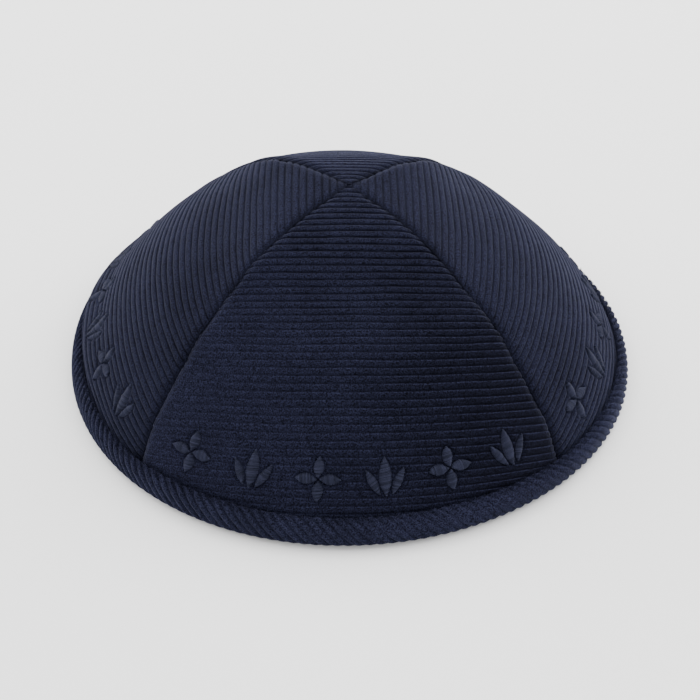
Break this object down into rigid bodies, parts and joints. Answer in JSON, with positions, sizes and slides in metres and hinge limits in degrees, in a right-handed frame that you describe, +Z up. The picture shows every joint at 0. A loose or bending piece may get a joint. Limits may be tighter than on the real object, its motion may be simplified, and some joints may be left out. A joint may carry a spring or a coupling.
{
  "type": "corduroy kippah",
  "caption": "Round four-panel skullcap of ribbed corduroy, with seams that meet at the crown and a folded bias binding round the rim",
  "frame": {"origin": "centre of the rim, on the surface that the rim rests on", "axes": "+Z up through the crown, -Y to the front of the cap, +X to the right of someone who looks at its front"},
  "size_m": [0.18, 0.178, 0.0637],
  "materials": {
    "panel_front": "cut-pile corduroy",
    "panel_right": "cut-pile corduroy",
    "panel_back": "cut-pile corduroy",
    "panel_left": "cut-pile corduroy",
    "rim_binding": "cut-pile corduroy, cut on the bias"
  },
  "bodies": {
    "root": {"panel_front": "panel_front", "panel_right": "panel_right", "panel_back": "panel_back", "panel_left": "panel_left", "rim_binding": "rim_binding"}
  },
  "joints": []
}
